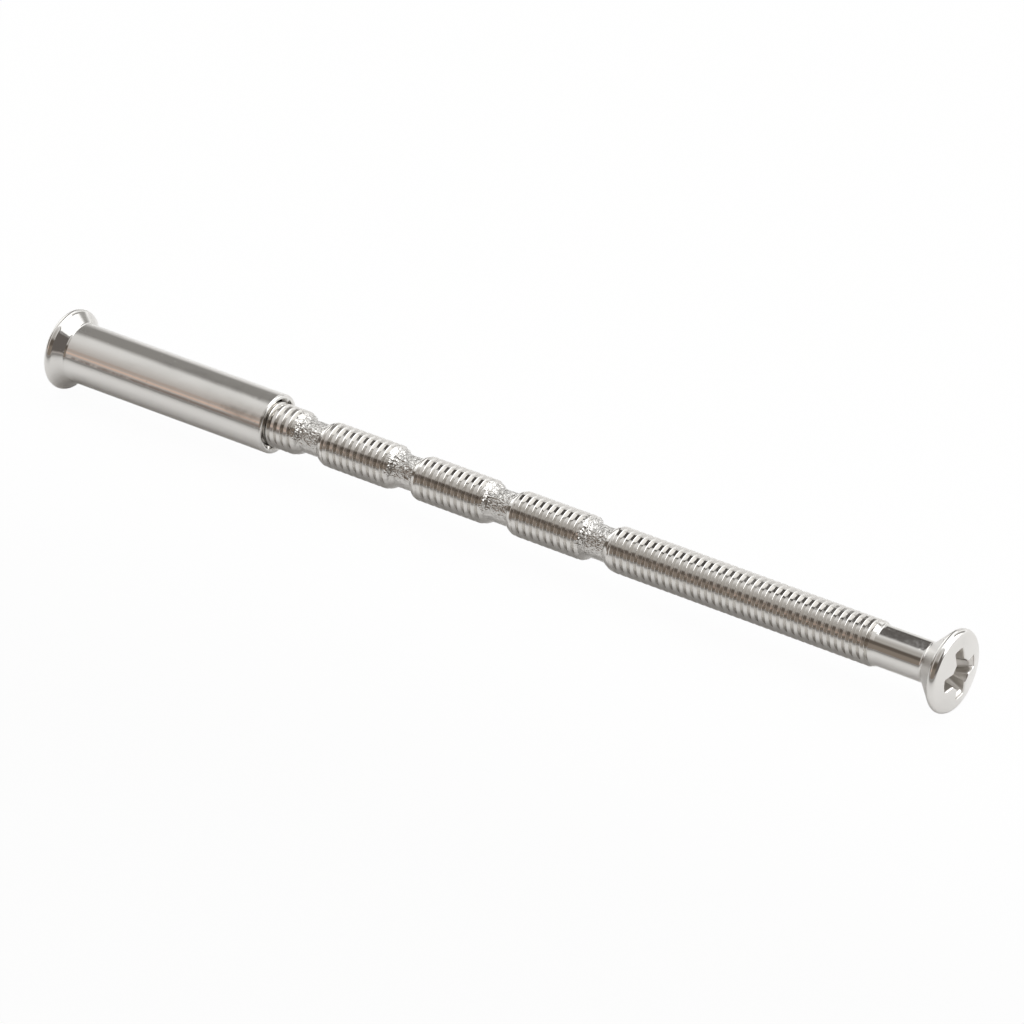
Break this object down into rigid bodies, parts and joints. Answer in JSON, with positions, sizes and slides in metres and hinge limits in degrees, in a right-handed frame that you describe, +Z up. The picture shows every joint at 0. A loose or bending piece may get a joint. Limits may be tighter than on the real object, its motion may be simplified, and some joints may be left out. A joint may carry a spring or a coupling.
{
  "type": "door handle screw",
  "caption": "Bright plated through-bolt for door handles: a break-off machine screw with a raised countersunk cross-recess head, turned into a sleeve nut with a matching head.",
  "frame": {"origin": "on the ground under the middle of the bolt's length, as it lies on its two head rims", "axes": "+X along the bolt's axis towards the screw's head, +Z up"},
  "size_m": [0.0918, 0.0072, 0.0072],
  "materials": {
    "screw_plating": "bright nickel plating on steel",
    "sleeve_plating": "bright nickel plating on steel"
  },
  "bodies": {
    "sleeve": {"sleeve_nut": "sleeve_plating"},
    "screw": {"break_off_screw": "screw_plating"}
  },
  "joints": [
    {"name": "screw_travel", "type": "slide", "parent": "sleeve", "child": "screw", "axis": [1, 0, 0], "range_m": [-0.0112, 0.0066]}
  ]
}
